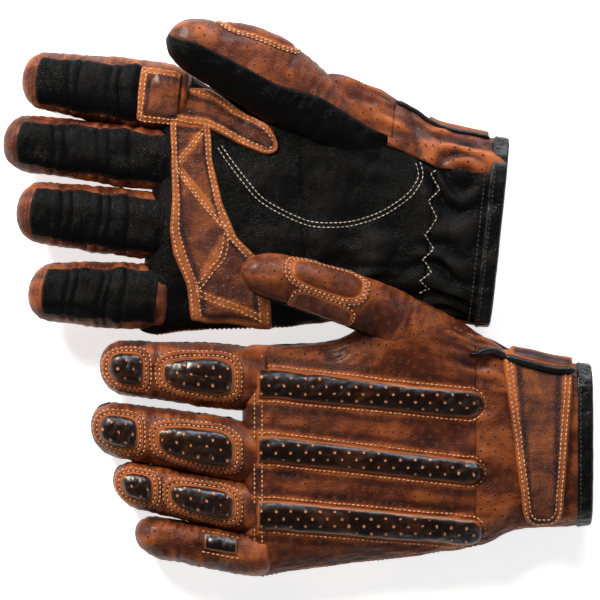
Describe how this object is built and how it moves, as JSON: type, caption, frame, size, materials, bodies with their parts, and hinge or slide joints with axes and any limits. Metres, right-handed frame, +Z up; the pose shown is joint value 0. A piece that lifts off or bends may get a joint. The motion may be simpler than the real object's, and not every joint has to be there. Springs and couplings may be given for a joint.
{
  "type": "pair of riding gloves",
  "caption": "Pair of short-cuff leather riding gloves with padded back bars, knuckle pads and a wrist strap, one palm up and one back up.",
  "frame": {"origin": "centre of the pair's outline on the surface that it lies on", "axes": "+Z up; -X towards the fingertips; +Y from the left glove towards the right glove"},
  "size_m": [0.2924, 0.2743, 0.0547],
  "materials": {
    "brown_leather": "pull-up aniline, perforated, worn at the folds",
    "padded_leather": "glossy, perforated, rubbed at the edges",
    "palm_leather": "soft satin nappa",
    "binding": "glossy rolled edge",
    "fastening_tape": "woven loops"
  },
  "bodies": {
    "right_hand": {"right_hand_back": "brown_leather", "right_palm_panel": "palm_leather", "right_cuff_back": "brown_leather", "right_cuff_palm": "palm_leather", "right_cuff_binding": "binding", "right_vent_binding": "binding", "right_loop_patch": "fastening_tape", "right_back_bar_index": "padded_leather", "right_back_bar_middle": "padded_leather", "right_back_bar_ring": "padded_leather", "right_palm_patch": "brown_leather", "right_web_patch": "brown_leather"},
    "right_index": {"right_index_back": "brown_leather", "right_index_front": "palm_leather", "right_knuckle_pad_index": "padded_leather", "right_tip_pad_index": "padded_leather"},
    "right_middle": {"right_middle_back": "brown_leather", "right_middle_front": "palm_leather", "right_knuckle_pad_middle": "padded_leather", "right_tip_pad_middle": "padded_leather"},
    "right_ring": {"right_ring_back": "brown_leather", "right_ring_front": "palm_leather", "right_knuckle_pad_ring": "padded_leather", "right_tip_pad_ring": "padded_leather"},
    "right_little": {"right_little_back": "brown_leather", "right_little_front": "palm_leather"},
    "right_thumb": {"right_thumb_back": "brown_leather", "right_thumb_front": "palm_leather", "right_thumb_pad": "brown_leather"},
    "right_strap": {"right_strap": "brown_leather"},
    "left_hand": {"left_hand_back": "brown_leather", "left_palm_panel": "palm_leather", "left_cuff_back": "brown_leather", "left_cuff_palm": "palm_leather", "left_cuff_binding": "binding", "left_vent_binding": "binding", "left_loop_patch": "fastening_tape", "left_back_bar_index": "padded_leather", "left_back_bar_middle": "padded_leather", "left_back_bar_ring": "padded_leather", "left_palm_patch": "brown_leather", "left_web_patch": "brown_leather"},
    "left_index": {"left_index_back": "brown_leather", "left_index_front": "palm_leather", "left_knuckle_pad_index": "padded_leather", "left_tip_pad_index": "padded_leather"},
    "left_middle": {"left_middle_back": "brown_leather", "left_middle_front": "palm_leather", "left_knuckle_pad_middle": "padded_leather", "left_tip_pad_middle": "padded_leather"},
    "left_ring": {"left_ring_back": "brown_leather", "left_ring_front": "palm_leather", "left_knuckle_pad_ring": "padded_leather", "left_tip_pad_ring": "padded_leather"},
    "left_little": {"left_little_back": "brown_leather", "left_little_front": "palm_leather"},
    "left_thumb": {"left_thumb_back": "brown_leather", "left_thumb_front": "palm_leather", "left_thumb_pad": "brown_leather"},
    "left_strap": {"left_strap": "brown_leather"}
  },
  "joints": [
    {"name": "right_index_bend", "type": "hinge", "parent": "right_hand", "child": "right_index", "pos_m": [-0.06476, 0.09919, 0.0175], "axis": [0.1045, 0.9945, 0], "range_deg": [0, 65]},
    {"name": "right_middle_bend", "type": "hinge", "parent": "right_hand", "child": "right_middle", "pos_m": [-0.068, 0.06836, 0.0175], "axis": [0.1045, 0.9945, 0], "range_deg": [0, 65]},
    {"name": "right_ring_bend", "type": "hinge", "parent": "right_hand", "child": "right_ring", "pos_m": [-0.07143, 0.03574, 0.0175], "axis": [0.1045, 0.9945, 0], "range_deg": [0, 65]},
    {"name": "right_little_bend", "type": "hinge", "parent": "right_hand", "child": "right_little", "pos_m": [-0.07504, 0.00133, 0.0175], "axis": [0.1045, 0.9945, 0], "range_deg": [0, 65]},
    {"name": "right_thumb_swing", "type": "hinge", "parent": "right_hand", "child": "right_thumb", "pos_m": [-0.00763, 0.10224, 0.0345], "axis": [0.4519, 0.8921, 0], "range_deg": [0, 35]},
    {"name": "right_strap_peel", "type": "hinge", "parent": "right_hand", "child": "right_strap", "pos_m": [0.07957, 0.08997, 0.01436], "axis": [0.9945, -0.1045, 0], "range_deg": [0, 110]},
    {"name": "left_index_bend", "type": "hinge", "parent": "left_hand", "child": "left_index", "pos_m": [-0.0248, -0.0401, 0.0137], "axis": [0, -1, 0], "range_deg": [0, 65]},
    {"name": "left_middle_bend", "type": "hinge", "parent": "left_hand", "child": "left_middle", "pos_m": [-0.0248, -0.0773, 0.0137], "axis": [0, -1, 0], "range_deg": [0, 65]},
    {"name": "left_ring_bend", "type": "hinge", "parent": "left_hand", "child": "left_ring", "pos_m": [-0.0248, -0.1048, 0.0137], "axis": [0, -1, 0], "range_deg": [0, 65]},
    {"name": "left_little_bend", "type": "hinge", "parent": "left_hand", "child": "left_little", "pos_m": [-0.0248, -0.1268, 0.0137], "axis": [0, -1, 0], "range_deg": [0, 65]},
    {"name": "left_thumb_swing", "type": "hinge", "parent": "left_hand", "child": "left_thumb", "pos_m": [0.0392, -0.0063, 0.0352], "axis": [0.2971, 0.9549, 0], "range_deg": [0, 35]},
    {"name": "left_strap_peel", "type": "hinge", "parent": "left_hand", "child": "left_strap", "pos_m": [0.1197, -0.02329, 0.01751], "axis": [-1, 0, 0], "range_deg": [0, 110]},
    {"name": "left_glove_lift", "type": "slide", "parent": "right_hand", "child": "left_hand", "axis": [0, 0, 1], "range_m": [0, 0.25]}
  ]
}
